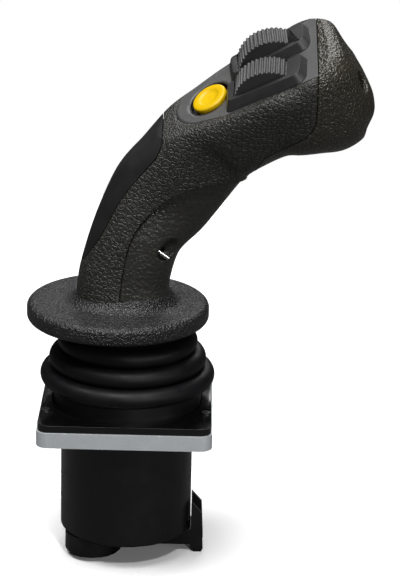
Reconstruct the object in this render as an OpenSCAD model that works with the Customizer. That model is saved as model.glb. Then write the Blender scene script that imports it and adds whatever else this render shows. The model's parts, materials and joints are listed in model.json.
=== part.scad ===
// Industrial joystick: an ergonomic grip with a push button and two thumb rollers on a
// two-axis gimbal, with a rubber boot, a square mounting flange and an electronics housing.
// Millimetres, +Z up, origin at the centre of the flange's underside (the mounting face).
// +X is the way the head of the grip leans, -Y is the thumb side.

/* [Flange and boot frame] */
// Side of the square mounting flange
flange_w = 88; // [84:1:100]
// Thickness of the mounting flange
flange_t = 8; // [7:0.5:12]
// Corner radius of the mounting flange
flange_r = 6; // [3:0.5:10]
// Round opening through the flange
flange_bore = 51; // [50:0.5:51]
// Distance of the mounting holes from the flange's edges
mount_edge = 7; // [6:0.5:8]
// Diameter of the mounting holes, tapped M5
mount_hole = 4.2; // [3.3:0.1:5]
// Thickness of the boot frame on the flange
frame_t = 3.7; // [3:0.1:5]
// How far the boot frame stands back from the flange's edge
frame_inset = 0.6; // [0.2:0.1:2]
// Distance of the frame screws from the flange's edge
frame_screw_edge = 3.4; // [3.1:0.1:3.6]
// Distance of the frame screws from the middle, along Y
frame_screw_y = 21; // [19:0.5:28]
// Nominal size of the frame screws
frame_screw_d = 3; // [2.5:0.5:3]

/* [Rubber boot] */
// Wall of the boot
boot_wall = 1.6; // [1.2:0.1:2]
// How far the lowest and widest fold stands out over the boot's foot
boot_bulge = 2.8; // [2:0.1:3.6]
// Radius lost from each fold to the next one up
boot_step = 4.6; // [3:0.1:5.2]
// Distance of the boot's foot from the edge of the frame that holds it down
boot_foot_edge = 1; // [0.8:0.1:2]
// Radius of the rounding of a fold
fold_r = 4.1; // [3.6:0.1:4.4]
// Height of the lowest fold above the mounting face
fold_z = 25.2; // [24:0.1:26]
// Height from the lowest fold to the middle one
fold_rise = 9.2; // [8.8:0.1:9.6]
// Outer radius of the boot's neck under the hand rest
boot_neck_r = 26; // [24:0.5:27]

/* [Housing] */
// Outer diameter of the housing under the flange
housing_d = 67.8; // [66:0.2:70]
// Depth of the housing below the mounting face
housing_h = 58.4; // [54:0.2:64]
// How deep the housing's rim is let into the flange
housing_spigot = 1.2; // [0.8:0.1:2]
// Wall of the housing
housing_wall = 2.5; // [2:0.1:3.5]
// Thickness of the housing's floor
floor_t = 3; // [2:0.5:4]
// Outer diameter of the round socket in the floor
socket_d = 29.2; // [27:0.2:30]
// How far the round socket stands out under the floor
socket_h = 10.4; // [8:0.2:12]
// Bore of the round socket
socket_bore = 23; // [20:0.5:24]
// Width of the rectangular socket across Y
plug_w = 17; // [15:0.5:20]
// Length of the rectangular socket along X
plug_l = 17; // [15:0.5:18]
// How far the rectangular socket stands out under the floor
plug_h = 8.8; // [7:0.2:10]
// Wall of the rectangular socket
plug_wall = 1.8; // [1.4:0.1:2.2]

/* [Gimbal] */
// Height of the pivot above the mounting face
pivot_z = 2; // [0:0.5:3]
// Tilt of the lever each way
tilt = 15; // [10:1:15]
// Diameter of the gimbal's pins
pin_d = 5; // [4:0.5:6]
// Running clearance on the radius of a pin in its bush
pin_gap = 0.03; // [0.02:0.01:0.08]
// Wall of a bearing bush
bush_wall = 1.5; // [1:0.25:2]
// Outer radius of the gimbal ring
ring_ro = 20; // [19:0.25:20.5]
// Inner radius of the gimbal ring
ring_ri = 15; // [14.5:0.25:15.5]
// Height of the gimbal ring
ring_h = 11; // [10:0.5:13]
// Width of the bearing lugs and of the lever's hub
lug_w = 13; // [12:0.5:15]
// Wire of the centring springs
wire_d = 1; // [0.8:0.1:1.1]

/* [Lever] */
// Outer diameter of the lever's tube
shaft_d = 14; // [12:0.5:15]
// Bore of the lever's tube
shaft_bore = 7; // [5:0.5:8]
// Height of the top of the lever's tube
shaft_top = 104; // [98:1:108]
// Outer diameter of the clamp sleeve on the tube
sleeve_d = 23; // [20:0.5:24]
// Radius of the hand rest
rest_r = 46.2; // [43:0.2:50]
// Height of the underside of the hand rest's rim
rest_z = 54.6; // [54:0.2:56]
// Thickness of the hand rest's rim
rest_t = 9.4; // [8:0.2:11]
// How far the hand rest stands off the lever's axis, away from the head
rest_shift = 5.2; // [3:0.2:6]

/* [Grip] */
// Depth of the neck from the palm to the fingers
neck_depth = 46; // [44:1:50]
// Width of the neck
neck_width = 39; // [38:1:44]
// Width of the head
head_width = 54; // [53:0.5:56]
// Roll of the head towards the thumb
head_roll = 22; // [16:1:26]
// Wall of the grip's shells
grip_wall = 4; // [3.5:0.1:4.5]
// Thickness of the palm pad
pad_t = 2; // [1.5:0.1:2.5]
// Width of the visible seam between the grip's pieces
seam = 0.4; // [0.3:0.05:0.7]
// How far the finger side stands back under the rear shell's lip
lip = 2.4; // [1.5:0.1:3]

/* [Controls] */
// Slope of the face plate along the head
face_slope = 33; // [32:0.5:34]
// Roll of the face plate towards the thumb
face_roll = 20; // [18:0.5:22]
// Thickness of the face plate
plate_t = 2.5; // [2:0.1:3]
// Diameter of the push button's cap
button_d = 17.6; // [15:0.2:18]
// Travel of the push button
button_travel = 2.5; // [1.5:0.25:3]
// Running clearance on the radius of the button's stem and of the roller axles
slide_gap = 0.05; // [0.03:0.01:0.1]
// Outer radius of the thumb rollers
roller_r = 17.5; // [16:0.25:18]
// Width of a thumb roller
roller_w = 12.4; // [11:0.2:12.8]
// Distance between the two thumb rollers
roller_pitch = 22; // [21.5:0.1:22.5]
// Diameter of the roller axles
axle_d = 4; // [3:0.5:5]
// Swing of a roller each way
roller_swing = 30; // [20:1:30]
// Height of the roller bezels above the face plate
bezel_h = 4.6; // [4:0.2:5]
// Number of grip teeth on a roller
roller_teeth = 22; // [18:1:30]

/* [Hidden] */
$fn = 64;
mount_pitch = flange_w - 2 * mount_edge;
frame_screw_x = flange_w / 2 - frame_screw_edge;
boot_foot_r = flange_w / 2 - frame_inset - boot_foot_edge;
boot_r = boot_foot_r + boot_bulge;
gap = 0.3;              // between pieces of different bodies
frame_z = flange_t;     // underside of the boot frame
frame_top = flange_t + frame_t;
housing_r = housing_d / 2;
housing_ri = housing_r - housing_wall;
housing_top = housing_spigot - 0.03;

// ---------------------------------------------------------------- helpers
// Square with rounded corners about the origin
module rounded_square(size, r) {
  for (a = [0, 90])
    rotate(a) square([size - 2 * r, size], center = true);
  for (x = [-1, 1], y = [-1, 1])
    translate([x, y] * (size / 2 - r)) circle(r);
}

// A piece drawn as one mesh, for skins cut from the lofted grip
module as_mesh() {
  resize([0, 0, 0]) children();
}

// Round wire along a list of points
module sweep(path, d, sides = 8) {
  n = len(path);
  rings = [
    for (i = [0:n - 1])
      let (t = unit(path[min(i + 1, n - 1)] - path[max(i - 1, 0)]),
           side = unit(cross(t, abs(t.z) > 0.9 ? [1, 0, 0] : [0, 0, 1])),
           up = cross(side, t))
        for (k = [0:sides - 1])
          path[i] + d / 2 * (cos(360 * k / sides) * side + sin(360 * k / sides) * up)
  ];
  walls = [
    for (i = [0:n - 2], k = [0:sides - 1])
      let (a = i * sides + k, b = i * sides + (k + 1) % sides)
        [a, b, b + sides, a + sides]
  ];
  polyhedron(rings, concat([[for (k = [sides - 1:-1:0]) k]], walls,
                           [[for (k = [0:sides - 1]) (n - 1) * sides + k]]));
}
function unit(v) = v / norm(v);

// Coil spring about +Z from 0 up to length, with closed ends
module coil(r, wire, length, turns) {
  steps = 14 * turns;
  sweep([for (i = [0:steps])
    let (a = 360 * turns * i / steps)
      [r * cos(a), r * sin(a), wire / 2 + (length - wire) * i / steps]], wire, 6);
}

// ---------------------------------------------------------------- flange and boot frame
lug_in = ring_ro + wire_d + 3.9;      // inner face of the bearing lugs
lug_out = flange_bore / 2 + 5;        // outer end of the bearing bores
bush_d = pin_d + 2 * bush_wall;
housing_screw_r = flange_bore / 2 + 3.3;
housing_screw_d = 3;
foot_t = 1.5;                         // the boot's foot, held under the frame
frame_open_r = boot_foot_r - 0.8 + gap;

module at_frame_screws() {
  for (x = [-1, 1], y = [-1, 1])
    translate([x * frame_screw_x, y * frame_screw_y, 0]) children();
}

module at_housing_screws() {
  for (a = [45:90:315])
    rotate(a) translate([housing_screw_r, 0, 0]) children();
}

// Axis of the gimbal's outer pins, along X
module along_x() {
  translate([0, 0, pivot_z]) rotate([0, 90, 0]) children();
}

// Axis of the lever's pins, along Y
module along_y() {
  translate([0, 0, pivot_z]) rotate([-90, 0, 0]) children();
}

module mounting_flange() color("silver") difference() {
  union() {
    difference() {
      linear_extrude(flange_t) rounded_square(flange_w, flange_r);
      translate([0, 0, -1]) cylinder(d = flange_bore, h = flange_t + 2);
      translate([0, 0, -1]) cylinder(r = housing_r + 0.1, h = housing_spigot + 1);
    }
    // bearing lugs for the gimbal, inside the opening
    intersection() {
      lug_bottom = pivot_z - lug_w / 2;
      translate([0, 0, lug_bottom]) cylinder(d = flange_bore + 2, h = flange_t - lug_bottom);
      for (s = [-1, 1])
        translate([s * (lug_in + 5), 0, lug_bottom + (flange_t - lug_bottom) / 2])
          cube([10, lug_w, flange_t - lug_bottom], center = true);
    }
  }
  for (s = [0, 180])
    rotate(s) along_x() cylinder(d = bush_d, h = lug_out);
  for (x = [-1, 1], y = [-1, 1])
    translate([x * mount_pitch / 2, y * mount_pitch / 2, -1])
      cylinder(d = mount_hole, h = flange_t + 2);
  at_frame_screws() translate([0, 0, flange_t - 6]) cylinder(d = frame_screw_d, h = 7);
  at_housing_screws() {
    translate([0, 0, -1]) cylinder(d = housing_screw_d + 0.4, h = flange_t + 2);
    translate([0, 0, flange_t - housing_screw_d - 0.4])
      cylinder(d = 2 * housing_screw_d - 0.2, h = flange_t);
  }
}

module boot_frame() color("black") difference() {
  translate([0, 0, frame_z])
    linear_extrude(frame_t) rounded_square(flange_w - 2 * frame_inset, flange_r - frame_inset);
  translate([0, 0, frame_z - 1]) cylinder(r = frame_open_r, h = frame_t + 2);
  // recess over the boot's foot
  translate([0, 0, frame_z - 1]) cylinder(r = boot_foot_r + gap, h = foot_t + gap + 1);
  at_frame_screws() {
    translate([0, 0, frame_z - 1]) cylinder(d = frame_screw_d + 0.3, h = frame_t + 2);
    translate([0, 0, frame_top - 1.2]) cylinder(d = frame_head_d + 0.4, h = 2);
  }
}

frame_head_d = frame_screw_d + 1.4;
module frame_screws() color("dimgray") at_frame_screws() difference() {
  union() {
    translate([0, 0, flange_t - 5.5]) cylinder(d = frame_screw_d, h = frame_t + 4.6);
    translate([0, 0, frame_top - 1.2]) cylinder(d = frame_head_d, h = 1.7);
  }
  translate([0, 0, frame_top - 0.6]) cylinder(d = 2.2, h = 2, $fn = 6);
}

// ---------------------------------------------------------------- rubber boot
// The boot is a revolved skin: its middle line runs up the skirt, round three folds that get
// smaller towards the top, and in under the hand rest to a collar.
collar_r = sleeve_d / 2 + 5;          // boss under the hand rest that the boot grips
boot_collar_z = rest_z - 5.4;
fold_count = 3;
fold_turn = 82;                       // how far a fold is drawn round, each way
function fold_centre(k) = [boot_r - fold_r - k * boot_step,
                           fold_z + k * fold_rise - k * (k - 1) * 0.75];
function fold_size(k) = fold_r - boot_wall / 2 - 0.3 * k;
function on_fold(k, a) = fold_centre(k) + fold_size(k) * [cos(a), sin(a)];
// Half-round valley from fold k into the next one
function valley(k) =
  let (from = on_fold(k, fold_turn), to = on_fold(k + 1, -fold_turn), d = (to - from) / 2)
    [for (t = [-60, 0, 60]) (from + to) / 2 + sin(t) * d + cos(t) * [-d.y, d.x]];
boot_middle = concat(
  [[frame_open_r - gap - boot_wall / 2, flange_t],
   [frame_open_r - gap - boot_wall / 2, frame_top],
   [boot_foot_r - boot_wall / 2 + 0.4, frame_top + 3.2],
   [boot_foot_r - boot_wall / 2 - 0.4, fold_z - fold_r - 2.2]],
  [for (k = [0:fold_count - 1])
    each concat([for (a = [-fold_turn:fold_turn / 6:fold_turn]) on_fold(k, a)],
                k < fold_count - 1 ? valley(k) : [])],
  [[boot_neck_r + 1.5, boot_collar_z + 2.5],
   [collar_r + boot_wall + gap, boot_collar_z + 1.6],
   [collar_r + boot_wall / 2 + gap, boot_collar_z]]);

function normal_2d(a, b) = let (d = (b - a) / norm(b - a)) [d.y, -d.x];
function offset_line(line, w) = [
  for (i = [0:len(line) - 1])
    let (n = normal_2d(line[max(i - 1, 0)], line[min(i + 1, len(line) - 1)]))
      line[i] + w * n
];
function reversed(list) = [for (i = [len(list) - 1:-1:0]) list[i]];

module rubber_boot() color([0.11, 0.12, 0.13]) rotate_extrude() {
  polygon(concat(offset_line(boot_middle, boot_wall / 2),
                 reversed(offset_line(boot_middle, -boot_wall / 2))));
  // foot under the frame
  translate([boot_foot_r - 4, flange_t]) square([4, foot_t]);
  // collar round the hand rest's boss
  translate([collar_r + gap, boot_collar_z - 2]) square([boot_wall + 0.8, 4]);
}

// ---------------------------------------------------------------- housing and sockets
socket_pos = [-16.3, -10.5];
plug_x = 24.4;                        // middle of the rectangular socket
board_z = -27.6;                      // top of the sensor board
board_t = 1.6;
board_r = housing_ri - 1;
board_screw_r = 26;
boss_r = 3.4;

module at_board_screws() {
  for (a = [60, 180, 300])
    rotate(a) translate([board_screw_r, 0, 0]) children();
}

module housing() color([0.1, 0.1, 0.1]) difference() {
  union() {
    difference() {
      rotate_extrude() polygon([[0, -housing_h], [housing_r - 1.2, -housing_h],
        [housing_r, 1.2 - housing_h], [housing_r, housing_top], [0, housing_top]]);
      translate([0, 0, floor_t - housing_h]) cylinder(r = housing_ri, h = housing_h + 2);
    }
    intersection() {
      translate([0, 0, -housing_h + 1]) cylinder(r = housing_ri + 1, h = housing_h - 1 + housing_top);
      union() {
        // bosses for the screws from the flange, on ribs down the wall
        at_housing_screws() translate([0, 0, -14]) cylinder(r = boss_r, h = 14 + housing_top);
        // posts that carry the sensor board
        at_board_screws() translate([0, 0, -housing_h + 1])
          cylinder(r = boss_r, h = housing_h - 1 + board_z - board_t);
      }
    }
  }
  at_housing_screws() translate([0, 0, -12]) cylinder(d = housing_screw_d, h = 15);
  at_board_screws() translate([0, 0, board_z - board_t - 8]) cylinder(d = 2.5, h = 9);
  translate([socket_pos.x, socket_pos.y, -housing_h - 1]) cylinder(d = socket_neck, h = floor_t + 2);
  translate([plug_x - plug_l / 2 + plug_wall, -plug_w / 2 + plug_wall, -housing_h - 1])
    cube([plug_l - 2 * plug_wall, plug_w - 2 * plug_wall, floor_t + 2]);
}

module housing_screws() color("gray") at_housing_screws() {
  head_z = flange_t - housing_screw_d - 0.4;
  translate([0, 0, -11.5]) cylinder(d = housing_screw_d, h = head_z + 11.6);
  difference() {
    translate([0, 0, head_z]) cylinder(d = 2 * housing_screw_d - 0.6, h = housing_screw_d);
    translate([0, 0, head_z + 1.4]) cylinder(d = 2.9, h = 3, $fn = 6);
  }
}

socket_neck = socket_bore - 4;
module round_socket() color([0.08, 0.08, 0.08])
  translate([socket_pos.x, socket_pos.y, 0]) difference() {
    union() {
      rotate_extrude() polygon([[0, -housing_h - socket_h], [socket_d / 2 - 0.8, -housing_h - socket_h],
        [socket_d / 2, 0.8 - housing_h - socket_h], [socket_d / 2, -housing_h], [0, -housing_h]]);
      translate([0, 0, -housing_h]) cylinder(d = socket_neck, h = floor_t + 2);
    }
    translate([0, 0, -housing_h - socket_h - 1]) cylinder(d = socket_bore, h = socket_h - 0.8);
    for (a = [0:60:300])
      rotate(a) translate([socket_pin_r, 0, -housing_h - 3]) cylinder(d = socket_pin_d, h = 10);
  }

socket_pin_r = 6;
socket_pin_d = 1.6;
module round_socket_pins() color("gold") translate([socket_pos.x, socket_pos.y, 0])
  for (a = [0:60:300])
    rotate(a) translate([socket_pin_r, 0, -housing_h - socket_h + 6])
      cylinder(d = socket_pin_d, h = socket_h + 1);

// Rectangular socket with two cheeks that guard the plug's latch
cheek_t = 2.6;
cheek_x = housing_r + 0.4;
module plug_socket() color([0.08, 0.08, 0.08]) {
  bottom = -housing_h - plug_h;
  difference() {
    translate([plug_x - plug_l / 2, -plug_w / 2, bottom]) cube([plug_l, plug_w, plug_h]);
    translate([plug_x - plug_l / 2 + plug_wall, -plug_w / 2 + plug_wall, bottom - 1])
      cube([plug_l - 2 * plug_wall, plug_w - 2 * plug_wall, plug_h - 0.8]);
    at_plug_pins() translate([0, 0, -housing_h - 3]) cube([1, 1, 10], center = true);
  }
  // the guard stands off the housing's wall and joins the socket at its foot
  for (s = [-1, 1])
    translate([0, s * (plug_w / 2 - cheek_t / 2), 0]) rotate([90, 0, 0])
      linear_extrude(cheek_t, center = true)
        polygon([[cheek_x, bottom + 24], [cheek_x + 5.4, bottom + 17.8], [cheek_x + 6.4, bottom - 2.4],
                 [cheek_x + 5.4, bottom - 4], [cheek_x + 1.4, bottom - 4], [cheek_x - 0.4, bottom],
                 [plug_x + plug_l / 2 - 1, bottom], [plug_x + plug_l / 2 - 1, -housing_h - 0.2],
                 [cheek_x, -housing_h - 0.2]]);
  translate([cheek_x, -plug_w / 2, bottom]) cube([1.6, plug_w, 12]);
  translate([plug_x + plug_l / 2 - 1, -plug_w / 2, bottom])
    cube([cheek_x - plug_x - plug_l / 2 + 2, plug_w, plug_h - 0.2]);
}

module at_plug_pins() {
  for (x = [-1, 0, 1], y = [-1.5:1:1.5])
    translate([plug_x + x * 3.6, y * 3, 0]) children();
}

module plug_socket_pins() color("gold")
  at_plug_pins() translate([-0.5, -0.5, -housing_h - plug_h + 5.5]) cube([1, 1, plug_h - 0.5]);

// ---------------------------------------------------------------- sensor board
module sensor_board() color("darkgreen") difference() {
  translate([0, 0, board_z - board_t]) cylinder(r = board_r, h = board_t);
  at_board_screws() translate([0, 0, board_z - board_t - 1]) cylinder(d = 2.8, h = board_t + 2);
  // clear of the ribs under the flange screws
  at_housing_screws() translate([0, 0, board_z - board_t - 1]) cylinder(r = 2.4, h = board_t + 2);
}

module sensor_chips() color([0.05, 0.05, 0.05]) {
  for (p = [[0, 0, 6], [12, 10, 5], [-13, 8, 7], [10, -12, 4], [-10, -13, 5]])
    translate([p.x, p.y, board_z + 0.75]) cube([p.z, p.z, 1.5], center = true);
}

module board_screws() color("gray") at_board_screws() {
  translate([0, 0, board_z - board_t - 7]) cylinder(d = 2.5, h = board_t + 7);
  translate([0, 0, board_z]) cylinder(d = 4.6, h = 1.8);
}

// ---------------------------------------------------------------- gimbal
module flange_bushes() color("peru") for (s = [0, 180])
  rotate(s) along_x() translate([0, 0, lug_in]) difference() {
    cylinder(d = bush_d, h = lug_out - lug_in);
    translate([0, 0, -1]) cylinder(d = pin_d + 2 * pin_gap, h = lug_out);
  }

module gimbal_ring() color("lightsteelblue") difference() {
  translate([0, 0, pivot_z - ring_h / 2]) cylinder(r = ring_ro, h = ring_h);
  translate([0, 0, pivot_z - ring_h / 2 - 1]) cylinder(r = ring_ri, h = ring_h + 2);
  along_x() cylinder(d = pin_d, h = 3 * ring_ro, center = true);
  along_y() cylinder(d = bush_d, h = 3 * ring_ro, center = true);
}

module gimbal_pins() color("gainsboro") for (s = [0, 180])
  rotate(s) along_x() translate([0, 0, ring_ri + 0.6]) cylinder(d = pin_d, h = lug_out - ring_ri - 1);

module gimbal_bushes() color("peru") for (s = [0, 180])
  rotate(s) along_y() translate([0, 0, ring_ri + 0.1]) difference() {
    cylinder(d = bush_d, h = ring_ro - ring_ri - 0.5);
    translate([0, 0, -1]) cylinder(d = pin_d + 2 * pin_gap, h = ring_ro);
  }

spring_r = pin_d / 2 + wire_d / 2 + 0.25;
module gimbal_spring() color("gray") along_x()
  translate([0, 0, ring_ro + 0.1]) coil(spring_r, wire_d, lug_in - ring_ro - 0.5, 3.5);

// ---------------------------------------------------------------- lever
hub_r = 9.4;
hub_w = 13;
spring_seat = max(hub_w, shaft_d) / 2 + 0.1;  // where the lever's spring starts
module lever_shaft() color("gainsboro") difference() {
  union() {
    translate([0, 0, pivot_z]) cylinder(d = shaft_d, h = shaft_top - pivot_z);
    translate([0, 0, pivot_z - hub_r - 1]) cylinder(d = shaft_d, h = hub_r + 1);
    along_y() cylinder(r = hub_r, h = hub_w, center = true);
  }
  translate([0, 0, pivot_z - hub_r - 2]) cylinder(d = shaft_bore, h = shaft_top);
  translate([0, 0, pivot_z]) cylinder(d = shaft_bore, h = shaft_top);
  along_y() cylinder(d = pin_d, h = 2 * hub_w, center = true);
}

module lever_pin() color("silver") for (s = [0, 180])
  rotate(s) along_y() translate([0, 0, shaft_bore / 2 + 0.4])
    cylinder(d = pin_d, h = ring_ro - shaft_bore / 2 - 1);

module lever_spring() color("gray") along_y()
  translate([0, 0, spring_seat]) coil(spring_r, wire_d, ring_ri - spring_seat - 0.4, 6);

magnet_d = 6;
magnet_h = 3;
magnet_z = board_z + 3.4;             // underside of the magnet, over the middle chip
module magnet_holder() color("ivory") difference() {
  top = pivot_z - hub_r - 1;
  union() {
    translate([0, 0, magnet_z]) cylinder(d = magnet_d + 3, h = top - magnet_z);
    translate([0, 0, top - 2]) cylinder(d = shaft_d, h = 2);
    translate([0, 0, top - 1]) cylinder(d = shaft_bore, h = 5);
  }
  translate([0, 0, magnet_z - 1]) cylinder(d = magnet_d, h = magnet_h + 1);
}

module magnet() color([0.3, 0.3, 0.32])
  translate([0, 0, magnet_z]) cylinder(d = magnet_d, h = magnet_h);

// Clamp sleeve that ties the hand rest and the grip to the lever's tube
sleeve_z = boot_collar_z - 2.4;
sleeve_top = 97;
module clamp_sleeve() color("lightgray") difference() {
  union() {
    translate([0, 0, sleeve_z]) cylinder(d = sleeve_d, h = sleeve_top - sleeve_z);
    translate([0, 0, neck_z]) cylinder(d = sleeve_d + 6, h = 3);
  }
  translate([0, 0, sleeve_z - 1]) cylinder(d = shaft_d, h = sleeve_top);
}

// ---------------------------------------------------------------- hand rest
rest_top = rest_z + rest_t;
neck_z = rest_top + 2.6;              // seat of the grip on the hand rest
module hand_rest() color([0.12, 0.12, 0.12]) difference() {
  union() {
    translate([-rest_shift, 0, 0]) rotate_extrude() {
      edge = rest_t / 2;
      translate([rest_r - edge, rest_z + edge]) circle(edge);
      polygon([[0, rest_z], [rest_r - edge, rest_z], [rest_r - edge, rest_top],
               [rest_r - edge - 8, rest_top + 0.4], [29, neck_z - 1.2], [27.5, neck_z], [0, neck_z]]);
    }
    translate([0, 0, boot_collar_z - 2.4]) cylinder(r = collar_r, h = 12);
  }
  translate([0, 0, rest_z - 20]) cylinder(d = sleeve_d, h = 60);
  // the underside is dished round the boot
  translate([-rest_shift, 0, 0]) rotate_extrude()
    polygon([[collar_r + 9, rest_z - 1], [rest_r - 7, rest_z - 1], [rest_r - 10, rest_z + 1.8],
             [collar_r + 12, rest_z + 1.8]]);
}

// ---------------------------------------------------------------- grip form
// The grip is one lofted form, cut into its mouldings. Its stations run up from the hand rest:
// [x, height above the seat, depth as a share of the neck's, share of the way from the neck's
// width to the head's, closing of the end, share of the head's roll, squareness of the top,
// shift towards the thumb]
stations = [
  [-2.5, 0, 1.04, 0.1, 1, 0, 2.2, 0],
  [-2, 12, 1, 0, 1, 0, 2.2, 0],
  [4.5, 34.5, 1, 0, 1, 0.05, 2.2, 0],
  [15.5, 52.5, 1.15, 0, 1, 0.2, 2.3, 0],
  [25.8, 64.7, 1.14, 0.22, 1, 0.4, 2.6, 0.3],
  [38, 79, 1.1, 0.46, 1, 0.65, 3.1, 1],
  [46.8, 87, 0.95, 0.78, 1, 0.85, 3.8, 3.2],
  [67.3, 100.6, 0.98, 1.01, 1, 0.97, 4.6, 6.7],
  [83.2, 105.3, 1.07, 1.25, 1, 1, 6, 7.6],
  [92.6, 109.2, 1.29, 1.25, 1, 1, 5.6, 6.8],
  [102, 114.8, 1.2, 1.16, 0.97, 1, 5, 5.4],
  [109.3, 118.1, 0.93, 0.85, 0.84, 1, 3.2, 4.1],
  [112.6, 119.9, 0.42, 0.8, 0.4, 1, 2.6, 4.1]
];
underside = 2.3;                      // squareness of the finger side and of the head's underside
loft_steps = 4;                       // rings from one station to the next
loft_sides = 44;
finger_from = 1.4;                    // stations between which the finger side steps in
finger_to = 3;

function spline(a, b, c, d, t) =
  0.5 * (2 * b + (c - a) * t + (2 * a - 5 * b + 4 * c - d) * t * t
         + (3 * b - a - 3 * c + d) * t * t * t);
function along(list, i, t) = let (n = len(list) - 1)
  spline(list[max(i - 1, 0)], list[i], list[min(i + 1, n)], list[min(i + 2, n)], t);
function smooth(list, steps) = concat(
  [for (i = [0:len(list) - 2], k = [0:steps - 1]) along(list, i, k / steps)],
  [list[len(list) - 1]]);
function ramp(t, from, to) = let (u = min(max((t - from) / (to - from), 0), 1)) u * u * (3 - 2 * u);
function power(v, n) = sign(v) * pow(abs(v), 2 / n);

// Points of one ring: s is the station, dir the direction of the loft there
function ring(s, dir, inset, step_in, sides) =
  let (depth = neck_depth * s[2] / 2 - inset,
       width = (neck_width + (head_width - neck_width) * s[3]) * s[4] / 2 - inset - step_in,
       roll = head_roll * s[5])
    [for (k = [0:sides - 1])
      let (a = 360 * k / sides,
           n = sin(a) > 0 ? s[6] : underside,
           u = width * power(cos(a), n),
           v = depth * power(sin(a), n),
           side = u * cos(roll) - v * sin(roll),
           out = u * sin(roll) + v * cos(roll))
        [s[0] - out * dir.y, side - s[7], s[1] + out * dir.x]];

// Loft through the first stations, moved inwards by inset; step_in narrows the finger side
module grip_form(inset = 0, step_in = 0, last = len(stations) - 1, steps = loft_steps,
                 sides = loft_sides) {
  list = smooth([for (i = [0:last]) stations[i]], steps);
  n = len(list);
  points = [
    for (i = [0:n - 1])
      let (a = list[max(i - 1, 0)], b = list[min(i + 1, n - 1)],
           dir = i == 0 ? [0, 1] : unit([b[0] - a[0], b[1] - a[1]]))
        each ring(list[i], dir, inset, step_in * ramp(i / steps, finger_from, finger_to), sides)
  ];
  faces = concat(
    [[for (k = [0:sides - 1]) k]],
    [for (i = [0:n - 2], k = [0:sides - 1])
      let (a = i * sides + k, b = i * sides + (k + 1) % sides)
        [a, a + sides, b + sides, b]],
    [[for (k = [sides - 1:-1:0]) (n - 1) * sides + k]]);
  polyhedron(points, faces, convexity = 8);
}

// The hollow inside the shells, open at the neck's foot
module grip_hollow() {
  grip_form(inset = grip_wall, last = len(stations) - 2, steps = 2, sides = 24);
  translate([stations[0][0], 0, -1])
    scale([1, (neck_width / 2 - grip_wall) / (neck_depth / 2 - grip_wall), 1])
      cylinder(r = neck_depth / 2 - grip_wall, h = 2, $fn = 24);
}

// Cutters, drawn in side view and run right through the grip
module side_view(points) {
  rotate([90, 0, 0]) linear_extrude(140, center = true) polygon(points);
}
seam_x = 89.7;                        // where the head cap starts, at the face plate's end
cap_round = 14;                       // radius of the turn in the head cap's seam
cap_seam_z = 103;
cap_turn = 58;
function cap_line(s) = concat(
  [[seam_x + s, 180]],
  [for (a = [0:-cap_turn / 6:-cap_turn])
    [seam_x - cap_round, cap_seam_z] + (cap_round + s) * [cos(a), sin(a)]],
  [[66 + s / 2, 80 - s], [61 + s, 70 - s], [60 + s, 58]]);
function finger_line(s) = smooth(
  [[-4 + s, -8], [-3 + s, 12], [3 + 0.8 * s, 38 - 0.6 * s], [20, 56 - s], [40, 63.3 - s], [75, 65 - s]], 4);
function pad_line(s) = concat(
  [[16 - s, 140], [16 - s, 84]],
  smooth([[13.5 - s, 77.5 + s], [-3.5 - s, 55], [-15 - s, 32.5], [-34, 4 + s]], 4));

module cap_region(s = 0) side_view(concat(cap_line(s), [[160, 58], [160, 180]]));
module finger_region(s = 0) side_view(concat(finger_line(s), [[75, -20], [-4 + s, -20]]));
module pad_region(s = 0) side_view(concat(pad_line(s), [[-80, 4], [-80, 140]]));

// Frame of the face plate: +X up the head, +Z out of the plate
face_pos = [59.7, -11.4, 117.3];
face_yaw = -7;
module at_face() {
  translate(face_pos) rotate([0, -face_slope, 0]) rotate([face_roll, 0, 0]) rotate(face_yaw)
    children();
}

// Everything over the face plate's plane
module over_face(z = 0) at_face() translate([-60, -60, z]) cube([160, 120, 60]);

button_x = -24.5;                     // middle of the button along the face
roller_x = 7;                         // middle between the rollers, along the face
// Places along the face and across it, and radii, of the plate's round end
plate_end = [[button_x - 2, 2, 17], [button_x + 9.5, -5.5, 14.5], [button_x + 9.5, 6.4, 14.5]];
plate_near = 26.4;                    // half widths of the plate at the head cap
plate_far = 23.4;
module plate_outline(inset = 0) hull() {
  for (p = plate_end)
    translate([p[0], p[1]]) circle(p[2] - inset);
  translate([roller_x + 29, inset - plate_near])
    square([20, plate_near + plate_far - 2 * inset]);
}

// Frame of a roller and its bezel; the two units are set askew, close together at the button
unit_stagger = 2;
unit_turn = -4.5;
unit_spread = 3.5;
module at_unit(side) at_face()
  translate([roller_x + side * unit_stagger, side * roller_pitch / 2, 0])
    rotate(unit_turn + side * unit_spread) children();
module plate_block(inset, low, high) at_face()
  translate([0, 0, low]) linear_extrude(high - low) plate_outline(inset);

module in_grip() translate([0, 0, neck_z]) children();

// ---------------------------------------------------------------- grip mouldings
web_x = seam_x - 4;
screw_axis = [96, -13, 108];          // a point on the cap screw's axis
screw_slope = 30;
screw_turn = -22;
module at_cap_screw() translate(screw_axis) rotate(screw_turn) rotate([0, 90 - screw_slope, 0])
  children();
cap_screw_d = 4;

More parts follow.
